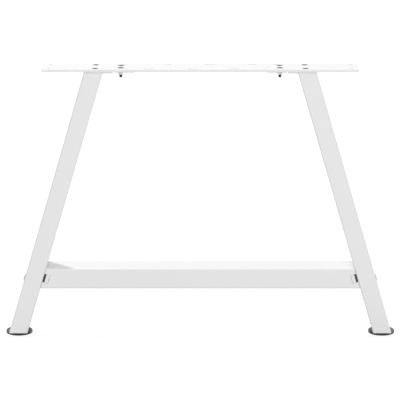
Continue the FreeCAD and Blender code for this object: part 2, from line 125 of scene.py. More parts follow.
def deselect() -> None:
    """Leaves edit mode and clears the selection, so that a new piece is worked on alone."""
    if bpy.context.object and bpy.context.object.mode != "OBJECT":
        bpy.ops.object.mode_set(mode="OBJECT")
    bpy.ops.object.select_all(action="DESELECT")


def activate(piece: Piece) -> None:
    """Makes one piece the selected and active one.

    Args:
        piece: The object to work on.
    """
    deselect()
    piece.select_set(True)
    bpy.context.view_layer.objects.active = piece


def discard(*pieces: Piece) -> None:
    """Takes away pieces that have served as a cutter or a model for copies."""
    for piece in pieces:
        bpy.data.objects.remove(piece, do_unlink=True)


def settle(piece: Piece) -> None:
    """Puts a piece's object at the origin, with its place kept in its mesh."""
    activate(piece)
    bpy.ops.object.transform_apply(location=True, rotation=True, scale=True)


def put(piece: Piece, place: Sequence[float], turn: Point = (0.0, 0.0, 0.0)) -> None:
    """Turns a piece about the origin, moves it to its place and keeps both in its mesh.

    Args:
        piece: The mesh object.
        place: Where its origin goes, in metres.
        turn: Its angles about the three axes.
    """
    piece.rotation_euler = turn
    piece.location = place
    settle(piece)


def edit_where(piece: Piece, pick: Pick, chosen: Test, within: Test | None = None) -> None:
    """Enters edit mode with the parts of a mesh selected that lie where a test says.

    Args:
        piece: The mesh object.
        pick: What is selected. An edge counts if both of its ends pass, a face by its middle.
        chosen: Test on a place in metres.
        within: A second test on an edge's direction or a face's normal.
    """
    activate(piece)
    bpy.ops.object.mode_set(mode="EDIT")
    bpy.ops.mesh.select_mode(type=pick.value)
    bpy.ops.mesh.select_all(action="DESELECT")
    bpy.ops.object.mode_set(mode="OBJECT")
    mesh = piece.data
    if pick is Pick.CORNERS:
        for vertex in mesh.vertices:
            vertex.select = chosen(vertex.co)
    elif pick is Pick.EDGES:
        for edge in mesh.edges:
            start, end = (mesh.vertices[index].co for index in edge.vertices)
            turned_right = within is None or within((end - start).normalized())
            edge.select = chosen(start) and chosen(end) and turned_right
    else:
        for face in mesh.polygons:
            face.select = chosen(face.center) and (within is None or within(face.normal))
    bpy.ops.object.mode_set(mode="EDIT")


def shift_corners(piece: Piece, chosen: Test, offset: Point) -> None:
    """Moves the corners of a mesh that lie where a test says.

    Args:
        piece: The mesh object.
        chosen: Test on a corner's place.
        offset: How far they move, in metres.
    """
    edit_where(piece, Pick.CORNERS, chosen)
    bpy.ops.transform.translate(value=offset)
    deselect()


def round_edges(piece: Piece, width: float, segments: int, chosen: Test, within: Test) -> None:
    """Rounds the edges of a mesh that lie and run as two tests say.

    Args:
        piece: The mesh object.
        width: Width of the rounding in metres.
        segments: Number of facets across it.
        chosen: Test on the places of an edge's ends.
        within: Test on its direction.
    """
    edit_where(piece, Pick.EDGES, chosen, within)
    bpy.ops.mesh.bevel(offset=width, segments=segments, affect="EDGES")
    deselect()


def round_under(piece: Piece, low: float, width: float) -> None:
    """Rounds all edges of a plate's underside.

    Args:
        piece: The mesh object.
        low: Height of the underside.
        width: Width of the rounding in metres.
    """
    upright = runs_along(Axis.Z, least=0.1)
    round_edges(piece, width, 4, lambda place: abs(place.z - low) < SLIGHT, lambda way: not upright(way))


def face_outwards(piece: Piece) -> None:
    """Turns all faces of a closed mesh outwards.

    Args:
        piece: The mesh object.
    """
    edit_where(piece, Pick.FACES, anywhere)
    bpy.ops.mesh.normals_make_consistent(inside=False)
    deselect()


def finish_with(piece: Piece, kind: str, **settings: object) -> None:
    """Adds a modifier with its settings and applies it.

    Args:
        piece: The mesh object.
        kind: The modifier's type.
        **settings: Its properties.
    """
    activate(piece)
    modifier = piece.modifiers.new(kind.lower(), kind)
    for name, value in settings.items():
        setattr(modifier, name, value)
    bpy.ops.object.modifier_apply(modifier=modifier.name)


def cut(piece: Piece, cutter: Piece, keep_inside: bool = False) -> None:
    """Takes a cutter's shape out of a piece, or keeps only what lies in both.

    Args:
        piece: The mesh that is cut.
        cutter: The shape of the cut, which is used up.
        keep_inside: Whether the piece keeps only what lies inside the cutter.
    """
    operation = "INTERSECT" if keep_inside else "DIFFERENCE"
    finish_with(piece, "BOOLEAN", operation=operation, object=cutter, solver="EXACT")
    discard(cutter)


def hollow_out(piece: Piece, axis: Axis, wall: float) -> None:
    """Makes a tube of a solid bar: its ends come off and its skin gets a wall.

    Args:
        piece: The mesh object.
        axis: The axis that the bar runs along.
        wall: Thickness of the wall, which lies inside the skin.
    """
    edit_where(piece, Pick.FACES, anywhere, runs_along(axis))
    bpy.ops.mesh.delete(type="FACE")
    deselect()
    finish_with(piece, "SOLIDIFY", thickness=wall, offset=-1.0, use_even_offset=True)


def smooth(piece: Piece, degrees: float = 30.0) -> None:
    """Shades a piece smooth where its faces meet at less than an angle."""
    activate(piece)
    bpy.ops.object.shade_smooth_by_angle(angle=radians(degrees))


def soften_edges(piece: Piece, width: float, degrees: float = 40.0) -> None:
    """Rounds a piece's sharp edges a little, as paint or deburring does.

    Args:
        piece: The mesh object.
        width: Width of the rounding in metres.
        degrees: Angle from which an edge counts as sharp.
    """
    finish_with(
        piece,
        "BEVEL",
        width=width,
        segments=2,
        limit_method="ANGLE",
        angle_limit=radians(degrees),
        use_clamp_overlap=True,
        harden_normals=False,
    )
    smooth(piece, degrees=35.0)


def join(name: str, pieces: Sequence[Piece]) -> Piece:
    """Joins pieces into one object.

    Args:
        name: The joined object's name.
        pieces: The objects to join.

    Returns:
        The joined object.
    """
    deselect()
    for piece in pieces:
        piece.select_set(True)
    bpy.context.view_layer.objects.active = pieces[0]
    bpy.ops.object.join()
    pieces[0].name = name
    return pieces[0]


def copy_at(piece: Piece, name: str, offset: Sequence[float]) -> Piece:
    """Copies a finished piece with a mesh of its own, moved by an offset.

    Args:
        piece: The piece to copy.
        name: The copy's name.
        offset: How far the copy is moved, in metres.

    Returns:
        The copy.
    """
    activate(piece)
    bpy.ops.object.duplicate(linked=False)
    copy = bpy.context.object
    copy.name = name
    put(copy, offset)
    return copy


def copies_at(piece: Piece, places: Iterable[Point]) -> list[Piece]:
    """Copies a piece that is made about the Z axis to each of some places."""
    return [copy_at(piece, f"{piece.name}_{number}", place) for number, place in enumerate(places)]


def mirror_copy(piece: Piece, name: str, axis: Axis = Axis.X) -> Piece:
    """Copies a piece to the other side of the frame, with its faces outwards.

    Args:
        piece: The piece on this side.
        name: The copy's name.
        axis: The axis that is turned round.

    Returns:
        The mirrored copy.
    """
    copy = copy_at(piece, name, (0.0, 0.0, 0.0))
    copy.scale[axis.value] = -1.0
    settle(copy)
    face_outwards(copy)
    return copy


def with_left_copies(pieces: list[Piece]) -> list[Piece]:
    """Some right-hand pieces, and a mirrored copy of each for the left leg."""
    return pieces + [mirror_copy(piece, f"left_{piece.name}") for piece in pieces]


def block(name: str, low: Sequence[float], high: Sequence[float]) -> Piece:
    """A block between two corners, to be shaped further.

    Args:
        name: The object's name.
        low: Its lowest corner in metres.
        high: Its highest corner in metres.

    Returns:
        The new object.
    """
    deselect()
    middle = [(a + b) / 2 for a, b in zip(low, high)]
    spans = [b - a for a, b in zip(low, high)]
    bpy.ops.mesh.primitive_cube_add(size=1.0, location=middle, scale=spans)
    piece = bpy.context.object
    piece.name = name
    settle(piece)
    return piece


def turned(name: str, rings: Rings, sides: int = 48) -> Piece:
    """A turned piece about Z, drawn up ring by ring from a filled circle and closed on top.

    Args:
        name: The object's name.
        rings: Radius and height of each ring in metres, from the bottom up.
        sides: Number of facets round the piece.

    Returns:
        The new object, standing on the origin's axis.
    """
    deselect()
    radius, height = rings[0]
    start = (0.0, 0.0, height)
    bpy.ops.mesh.primitive_circle_add(vertices=sides, radius=radius, fill_type="NGON", location=start)
    piece = bpy.context.object
    piece.name = name
    settle(piece)
    bpy.ops.object.mode_set(mode="EDIT")
    bpy.ops.mesh.select_all(action="SELECT")
    for next_radius, next_height in rings[1:]:
        rise = (0.0, 0.0, next_height - height)
        bpy.ops.mesh.extrude_region_move(TRANSFORM_OT_translate={"value": rise})
        share = next_radius / radius
        bpy.ops.transform.resize(value=(share, share, 1.0), center_override=(0.0, 0.0, next_height))
        radius, height = next_radius, next_height
    face_outwards(piece)
    return piece


def bar(name: str, radius: float, low: float, high: float, sides: int = 48) -> Piece:
    """A plain round bar about Z, or one with flats, from one height to another."""
    return turned(name, [(radius, low), (radius, high)], sides)


def stretched_bar(name: str, radius: float, length: float, low: float, high: float) -> Piece:
    """A cutter for an oblong hole: a round bar whose halves are drawn apart along X.

    Args:
        name: The object's name.
        radius: Half of the hole's width.
        length: The hole's length from end to end.
        low: Height of its lower end.
        high: Height of its upper end.

    Returns:
        The cutter, about the Z axis.
    """
    piece = bar(name, radius, low, high)
    for side in (1, -1):
        offset = (side * (length / 2 - radius), 0.0, 0.0)
        shift_corners(piece, lambda place: side * place.x > SLIGHT, offset)
    return piece


def hexagon_corner(across: float) -> float:
    """Distance from the middle of a hexagon to its corners, by its width across flats."""
    return across / 2 / cos(pi / 6)


def threaded(name: str, radius: float, pitch: float, low: float, high: float) -> Piece:
    """A threaded length of bolt about Z: a core with a helical ridge wound on it.

    Args:
        name: The object's name.
        radius: The thread's outer radius.
        pitch: Distance from turn to turn.
        low: Height of its lower end.
        high: Height of its upper end.

    Returns:
        The new object.
    """
    facets = 24
    depth = 0.54 * pitch
    core_radius = radius - depth
    tip_radius, tip_height = 0.93 * core_radius, 0.3 * pitch
    rings = [(tip_radius, low), (core_radius, low + tip_height), (core_radius, high)]
    core = turned(name, rings, facets)

    ridge_depth, root_width, crest_share = 1.3 * depth, 0.8 * pitch, 0.2
    start = low + 0.6 * pitch
    deselect()
    bpy.ops.mesh.primitive_plane_add(size=1.0, rotation=(pi / 2, 0.0, 0.0))
    ridge = bpy.context.object
    settle(ridge)
    edit_where(ridge, Pick.CORNERS, anywhere)
    bpy.ops.transform.resize(value=(ridge_depth, 1.0, root_width), center_override=(0.0, 0.0, 0.0))
    bpy.ops.transform.translate(value=(radius - ridge_depth / 2, 0.0, start))
    edit_where(ridge, Pick.CORNERS, lambda place: place.x > radius - ridge_depth / 2)
    bpy.ops.transform.resize(value=(1.0, 1.0, crest_share), center_override=(radius, 0.0, start))
    deselect()
    finish_with(
        ridge,
        "SCREW",
        axis="Z",
        angle=2 * pi,
        screw_offset=pitch,
        iterations=int((high - low) / pitch) - 1,
        steps=facets,
        render_steps=facets,
        use_normal_calculate=True,
    )
    close_ends(ridge)
    return join(name, [core, ridge])


def close_ends(piece: Piece) -> None:
    """Fills a mesh's open ends and turns its faces outwards.

    Args:
        piece: The mesh object.
    """
    edit_where(piece, Pick.EDGES, lambda place: False)
    bpy.ops.mesh.select_non_manifold()
    bpy.ops.mesh.edge_face_add()
    face_outwards(piece)


@dataclass(frozen=True)
class Finish:
    """A surface finish, made as a material of nodes that reads Object coordinates.

    The colour drifts a little over patches, the gloss varies with them, and a fine grain is a bump.
    Patch and grain are their sizes in metres.
    """

    name: str
    color: Point
    other_color: Point
    patch: float
    roughness: float
    rougher: float
    grain: float
    grain_height: float
    metallic: float = 0.0

    def material(self) -> bpy.types.Material:
        """Makes the finish's material.

        Returns:
            The new material.
        """
        made = bpy.data.materials.new(self.name)
        made.use_nodes = True
        nodes, links = made.node_tree.nodes, made.node_tree.links
        shader = nodes["Principled BSDF"]
        shader.inputs["Metallic"].default_value = self.metallic
        place = nodes.new("ShaderNodeTexCoord")
        noises = []
        for size, detail in ((self.patch, 4.0), (self.grain, 2.0)):
            noise = nodes.new("ShaderNodeTexNoise")
            noise.inputs["Scale"].default_value = 1.0 / size
            noise.inputs["Detail"].default_value = detail
            links.new(place.outputs["Object"], noise.inputs["Vector"])
            noises.append(noise)
        patches, grain = noises

        tone = nodes.new("ShaderNodeMix")
        tone.data_type = "RGBA"
        tone.inputs["A"].default_value = (*self.color, 1.0)
        tone.inputs["B"].default_value = (*self.other_color, 1.0)
        links.new(patches.outputs["Fac"], tone.inputs["Factor"])
        links.new(tone.outputs["Result"], shader.inputs["Base Color"])

        gloss = nodes.new("ShaderNodeMapRange")
        gloss.inputs["To Min"].default_value = self.roughness
        gloss.inputs["To Max"].default_value = self.rougher
        links.new(patches.outputs["Fac"], gloss.inputs["Value"])
        links.new(gloss.outputs["Result"], shader.inputs["Roughness"])

        relief = nodes.new("ShaderNodeBump")
        relief.inputs["Strength"].default_value = 1.0
        relief.inputs["Distance"].default_value = self.grain_height
        links.new(grain.outputs["Fac"], relief.inputs["Height"])
        links.new(relief.outputs["Normal"], shader.inputs["Normal"])
        return made


POWDER_COAT = Finish(
    name="white_powder_coat",
    color=(0.86, 0.86, 0.86),
    other_color=(0.875, 0.875, 0.875),
    patch=40 * MM,
    roughness=0.3,
    rougher=0.37,
    grain=1.6 * MM,
    grain_height=0.012 * MM,
)
BLACK_STEEL = Finish(
    name="black_oxide_steel",
    color=(0.045, 0.045, 0.048),
    other_color=(0.07, 0.068, 0.066),
    patch=4 * MM,
    roughness=0.32,
    rougher=0.5,
    grain=0.5 * MM,
    grain_height=0.008 * MM,
    metallic=0.8,
)
ZINC = Finish(
    name="zinc_plated_steel",
    color=(0.56, 0.57, 0.6),
    other_color=(0.66, 0.66, 0.65),
    patch=3 * MM,
    roughness=0.26,
    rougher=0.42,
    grain=0.4 * MM,
    grain_height=0.006 * MM,
    metallic=1.0,
)
FOOT_PLASTIC = Finish(
    name="black_foot_plastic",
    color=(0.011, 0.011, 0.012),
    other_color=(0.016, 0.016, 0.016),
    patch=12 * MM,
    roughness=0.22,
    rougher=0.32,
    grain=0.6 * MM,
    grain_height=0.005 * MM,
)
PLUG_PLASTIC = Finish(
    name="grey_plug_plastic",
    color=(0.62, 0.62, 0.61),
    other_color=(0.66, 0.66, 0.655),
    patch=6 * MM,
    roughness=0.35,
    rougher=0.45,
    grain=0.5 * MM,
    grain_height=0.005 * MM,
)
COVER_PLASTIC = Finish(
    name="white_cover_plastic",
    color=(0.86, 0.86, 0.86),
    other_color=(0.88, 0.88, 0.88),
    patch=10 * MM,
    roughness=0.36,
    rougher=0.44,
    grain=0.6 * MM,
    grain_height=0.005 * MM,
)


class Slot(Enum):
    """The record's material slots, each with the finish that dresses it."""

    COAT = ("white_powder_coat", POWDER_COAT)
    BLACK = ("black_steel", BLACK_STEEL)
    ZINC = ("zinc_steel", ZINC)
    FOOT = ("black_plastic", FOOT_PLASTIC)
    PLUG = ("grey_plastic", PLUG_PLASTIC)
    COVER = ("white_plastic", COVER_PLASTIC)

    @property
    def label(self) -> str:
        """Name of the slot in the record."""
        return self.value[0]

    @property
    def finish(self) -> Finish:
        """The finish that dresses it."""
        return self.value[1]


class Wardrobe:
    """The part's materials, each made once and put on pieces and on CAD nodes."""

    def __init__(self) -> None:
        """Makes a material for every slot."""
        self.materials = {slot: slot.finish.material() for slot in Slot}

    def dress(self, piece: Piece, slot: Slot) -> None:
        """Puts one finish on a whole piece.

        Args:
            piece: The mesh object.
            slot: The slot whose finish it takes.
        """
        piece.data.materials.clear()
        piece.data.materials.append(self.materials[slot])
        for face in piece.data.polygons:
            face.material_index = 0

    def hand_over(self, piece: Piece, slot: Slot, body: Part, replaced: Sequence[str] = ()) -> None:
        """Dresses a finished piece, lets it ride on its body and hides what it stands for.

        Args:
            piece: The finished mesh object.
            slot: The slot whose finish it takes.
            body: The body that it moves with.
            replaced: CAD nodes that it stands for.
        """
        settle(piece)
        finish_with(piece, "WEIGHTED_NORMAL", keep_sharp=True)
        self.dress(piece, slot)
        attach(piece, body.value)
        if replaced:
            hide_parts(*replaced)
        LOG.info("%s: %d faces, on %s", piece.name, len(piece.data.polygons), body.value)

    def hand_over_pair(self, piece: Piece, slot: Slot, node: str = "") -> None:
        """Hands over a right-hand piece of the frame and its mirrored copy on the left.

        Args:
            piece: The finished right-hand piece, whose name starts with its side.
            slot: The slot whose finish both take.
            node: The CAD nodes that they stand for, by their name without the side.
        """
        right, left = Side.RIGHT.label, Side.LEFT.label
        other = mirror_copy(piece, piece.name.replace(right, left))
        for side, own in ((right, piece), (left, other)):
            self.hand_over(own, slot, Part.FRAME, [f"{side}_{node}"] if node else ())

    def dress_nodes(self, nodes: dict[str, Piece], record: dict) -> None:
        """Gives every CAD node the finish of its slot.

        Args:
            nodes: The CAD nodes by name.
            record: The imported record.
        """
        slots = {slot.label: slot for slot in Slot}
        for subpart in record["subparts"]:
            material = self.materials[slots[subpart["material_slot"]]]
            for holder in nodes[subpart["node"]].material_slots:
                holder.material = material


@dataclass(frozen=True)
class LegLine:
    """Where the right leg leans: its axis, its faces and the way out of its outer face."""

    tilt: float = radians(16.4)
    reach: float = 276.7 * MM
    top: float = 709.0 * MM
    foot: float = 12.5 * MM
    sole: float = 8.5 * MM
    width: float = 47.0 * MM
    depth: float = 80.0 * MM
    wall: float = 1.5 * MM
    corner: float = 4.0 * MM

    def axis(self, height: float) -> float:
        """X of the leg's axis at a height."""
        return self.reach + (self.top - height) * tan(self.tilt)

    def half_face(self) -> float:
        """Half of the leg's width, measured level."""
        return self.width / 2 / cos(self.tilt)

    def inner(self, height: float, y: float = 0.0) -> Point:
        """Place on the inner face at a height."""
        return (self.axis(height) - self.half_face(), y, height)

    def outer(self, height: float) -> Point:
        """Place on the middle line of the outer face at a height."""
        return (self.axis(height) + self.half_face(), 0.0, height)

    def aim(self, piece: Piece, place: Point, inwards: bool = False) -> None:
        """Turns a piece's Z to point out of the leg's outer face and puts its origin at a place.

        Args:
            piece: A piece made about the Z axis.
            place: Where its origin goes.
            inwards: Whether Z points the other way, to the middle of the frame.
        """
        settle(piece)
        put(piece, place, (0.0, pi / 2 - self.tilt + (pi if inwards else 0.0), 0.0))


@dataclass(frozen=True)
class BoltShape:
    """A countersunk bolt with a hexagonal key recess."""

    radius: float = 4.0 * MM
    shank_radius: float = 3.88 * MM
    head_radius: float = 8.3 * MM
    rim: float = 0.1 * MM
    rim_bevel: float = 0.3 * MM
    key_across: float = 5.0 * MM
    key_depth: float = 3.0 * MM
    pitch: float = 1.25 * MM
    thread_run_in: float = 1.0 * MM

    def make(self, name: str, top: float, length: float, plain: float) -> Piece:
        """Makes a bolt about the Z axis, pointing down.

        Args:
            name: The object's name.
            top: Height of its head's face.
            length: Its length with the head.
            plain: Length of shank between head and thread.

        Returns:
            The bolt.
        """
        cone_end = top - (self.head_radius - self.radius)
        shank_end = cone_end - plain
        rings = [
            (self.shank_radius, shank_end),
            (self.shank_radius, cone_end),
            (self.head_radius - self.rim, top - self.rim_bevel),
            (self.head_radius - self.rim, top - self.rim),
            (self.head_radius - self.rim_bevel, top),
        ]
        head = turned(f"{name}_head", rings)
        key = bar("key", hexagon_corner(self.key_across), top - self.key_depth, top + SPARE, sides=6)
        cut(head, key)
        smooth(head)
        thread_top = shank_end + self.thread_run_in
        thread = threaded(f"{name}_thread", self.radius, self.pitch, top - length, thread_top)
        smooth(thread)
        return join(name, [head, thread])


@dataclass(frozen=True)
class BoltPlaces:
    """Where the countersunk bolts of the top plate stand, and their holes and seats."""

    leg_x: float = 272.0 * MM
    leg_y: float = 25.0 * MM
    tongue_x: float = 206.0 * MM
    tongue_y: float = 15.0 * MM
    hole_radius: float = 4.5 * MM
    seat_radius: float = 8.6 * MM
    seat_depth: float = 4.1 * MM

    def legs(self) -> list[Point]:
        """Places of the four bolts over the legs."""
        return four_places(self.leg_x, self.leg_y)

    def tongues(self) -> list[Point]:
        """Places of the four bolts in the tongues."""
        return four_places(self.tongue_x, self.tongue_y)


@dataclass
class TopPlate:
    """The perforated flat bar under the tabletop."""

    wardrobe: Wardrobe
    bolts: BoltPlaces
    corner: float = 5.0 * MM
    end_hole_x: float = 390.0 * MM
    end_hole_y: float = 25.0 * MM
    hole_radius: float = 4.5 * MM
    slot_length: float = 25.0 * MM
    slot_y: float = 30.0 * MM
    outer_slot_x: float = 203.0 * MM
    slot_stagger: float = 23.5 * MM
    slot_pitch: float = 110.0 * MM
    edge: float = 0.5 * MM
    under_edge: float = 1.2 * MM

    def slot_places(self) -> list[Point]:
        """Finds the place of every oblong hole.

        Returns:
            The four places beside the tongues, then three in each of the staggered rows.
        """
        places = four_places(self.outer_slot_x, self.slot_y)
        for side in (-1, 1):
            for step in (-1, 0, 1):
                x = side * (self.slot_stagger + step * self.slot_pitch)
                places.append((x, side * self.slot_y, 0.0))
        return places

    def cutters(self, low: float, high: float) -> Piece:
        """All holes of the plate as one cutter.

        Args:
            low: Height of the plate's underside.
            high: Height of its top.

        Returns:
            The joined cutter.
        """
        under, over = low - SPARE, high + SPARE
        round_hole = bar("round_hole", self.hole_radius, under, over)
        oblong_hole = stretched_bar("oblong_hole", self.hole_radius, self.slot_length, under, over)
        rings = [
            (self.bolts.hole_radius, under),
            (self.bolts.hole_radius, high - self.bolts.seat_depth),
            (self.bolts.seat_radius + SPARE, over),
        ]
        seat = turned("bolt_seat", rings)
        copies = copies_at(round_hole, four_places(self.end_hole_x, self.end_hole_y))
        copies += copies_at(oblong_hole, self.slot_places())
        copies += copies_at(seat, self.bolts.legs() + self.bolts.tongues())
        discard(round_hole, oblong_hole, seat)
        return join("plate_holes", copies)

    def build(self) -> None:
        """Makes the plate with its holes and softened edges."""
        low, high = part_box("top_plate")
        plate = block("drilled_top_plate", low, high)
        round_edges(plate, self.corner, 8, anywhere, runs_along(Axis.Z))
        round_under(plate, low[2], self.under_edge)
        cut(plate, self.cutters(low[2], high[2]))
        soften_edges(plate, self.edge)
        self.wardrobe.hand_over(plate, Slot.COAT, Part.FRAME, ["top_plate"])


@dataclass
class HeadFlange:
    """The plate on a leg's head, with the tongue that is bolted under the top plate."""

    wardrobe: Wardrobe
    bolts: BoltPlaces
    leg: LegLine
    shoulder: float = 226.0 * MM
    tongue_half: float = 25.0 * MM
    relief_width: float = 3.0 * MM
    relief_depth: float = 6.0 * MM
    tongue_corner: float = 4.0 * MM
    edge: float = 0.5 * MM
    under_edge: float = 1.2 * MM
    bead_radius: float = 2.0 * MM
    bead_end_radius: float = 0.9 * MM
    bead_dip_radius: float = 1.76 * MM
    bead_length: float = 66.0 * MM
    bead_sink: float = 0.3 * MM
    bead_ripples: int = 44

    def build(self) -> None:
        """Makes the right flange and its weld, and their copies on the left."""
        low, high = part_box("right_head_flange")
        under, over, past = low[2] - SPARE, high[2] + SPARE, high[1] + SPARE
        flange = block("right_flange", low, high)
        round_under(flange, low[2], self.under_edge)
        beside_tongue = (low[0] - SPARE, self.tongue_half)
        relief = (self.shoulder - self.relief_width, self.tongue_half - self.relief_depth)
        for row in (-1, 1):
            for start, near in (beside_tongue, relief):
                edges = sorted((row * near, row * past))
                cut(flange, block("notch", (start, edges[0], under), (self.shoulder, edges[1], over)))
        tongue_end = low[0] + SPARE
        round_edges(flange, self.tongue_corner, 6, lambda place: place.x < tongue_end, runs_along(Axis.Z))
        for place in self.bolts.legs() + self.bolts.tongues():
            if place[0] > 0:
                drill = bar("flange_drill", self.bolts.hole_radius, under, over)
                put(drill, place)
                cut(flange, drill)
        soften_edges(flange, self.edge)
        self.wardrobe.hand_over_pair(flange, Slot.COAT, "head_flange")
        self.weld()

    def weld(self) -> None:
        """Lays a rippled weld in the corner between each flange and its leg's inner face."""
        end = self.bead_length / 2
        step = self.bead_length / self.bead_ripples
        rings = [(self.bead_end_radius, -end)]
        for number in range(1, self.bead_ripples):
            radius = self.bead_radius if number % 2 else self.bead_dip_radius
            rings.append((radius, number * step - end))
        rings.append((self.bead_end_radius, end))
        bead = turned("right_head_weld", rings, sides=16)
        x, y, z = self.leg.inner(self.leg.top)
        put(bead, (x - self.bead_sink, y, z - self.bead_sink), (pi / 2, 0.0, 0.0))
        smooth(bead, degrees=50.0)
        self.wardrobe.hand_over_pair(bead, Slot.COAT)


@dataclass
class LegTube:
    """A leaning rectangular tube, with its sole plate and its blanking plug."""

    wardrobe: Wardrobe
    leg: LegLine
    plug_height: float = 152.0 * MM
    plug_hole: float = 7.0 * MM
    bolt_height: float = 158.8 * MM
    bolt_y: float = 22.0 * MM
    bolt_hole: float = 4.5 * MM
    stud_hole: float = 5.5 * MM
    drill_inside: float = 6.0 * MM
    drill_outside: float = 4.0 * MM
    edge: float = 0.3 * MM

    def leaning_block(self, name: str, low: float, high: float) -> Piece:
        """A block with the leg's section between two heights, its long corners rounded.

        Args:
            name: The object's name.
            low: Height of its lower end.
            high: Height of its upper end.

        Returns:
            The new object.
        """
        half, middle = self.leg.half_face(), self.leg.axis(low)
        deep = self.leg.depth / 2
        piece = block(name, (middle - half, -deep, low), (middle + half, deep, high))
        lean = (self.leg.axis(high) - middle, 0.0, 0.0)
        shift_corners(piece, lambda place: place.z > (low + high) / 2, lean)
        round_edges(piece, self.leg.corner, 8, anywhere, runs_along(Axis.Z, least=0.5))
        return piece

    def build(self) -> None:
        """Makes the right tube, its sole plate and its plug, and their copies on the left."""
        tube = self.leaning_block("right_tube", self.leg.foot, self.leg.top)
        hollow_out(tube, Axis.Z, self.leg.wall)
        for row in (-1, 1):
            drill = bar("bolt_drill", self.bolt_hole, -self.drill_outside, self.drill_inside)
            self.leg.aim(drill, self.leg.inner(self.bolt_height, row * self.bolt_y))
            cut(tube, drill)
        drill = bar("plug_drill", self.plug_hole, -self.drill_inside, self.drill_outside)
        self.leg.aim(drill, self.leg.outer(self.plug_height))
        cut(tube, drill)
        soften_edges(tube, self.edge)

        sole = self.leaning_block("right_sole", self.leg.sole, self.leg.foot)
        drill = bar("stud_drill", self.stud_hole, 0.0, self.leg.foot + SPARE)
        put(drill, (self.leg.axis(self.leg.sole), 0.0, 0.0))
        cut(sole, drill)
        soften_edges(sole, self.edge)
        self.wardrobe.hand_over_pair(tube, Slot.COAT, "leg_tube")
        self.wardrobe.hand_over_pair(sole, Slot.COAT, "sole_plate")
        self.plug()

    def plug(self) -> None:
        """Makes the domed plug in each leg's outer face."""
        barb = [(6.0, -7.0), (6.85, -6.0), (7.4, -1.7), (6.85, -1.6), (6.85, 0.0)]
        dome = [(9.2, 0.0), (9.5, 0.4), (9.4, 1.0), (8.9, 1.7), (7.8, 2.25), (6.0, 2.6), (3.0, 2.7)]
        plug = turned("right_plug", in_mm(barb + dome), sides=64)
        self.leg.aim(plug, self.leg.outer(self.plug_height))
        smooth(plug, degrees=40.0)
        self.wardrobe.hand_over_pair(plug, Slot.PLUG, "leg_plug")


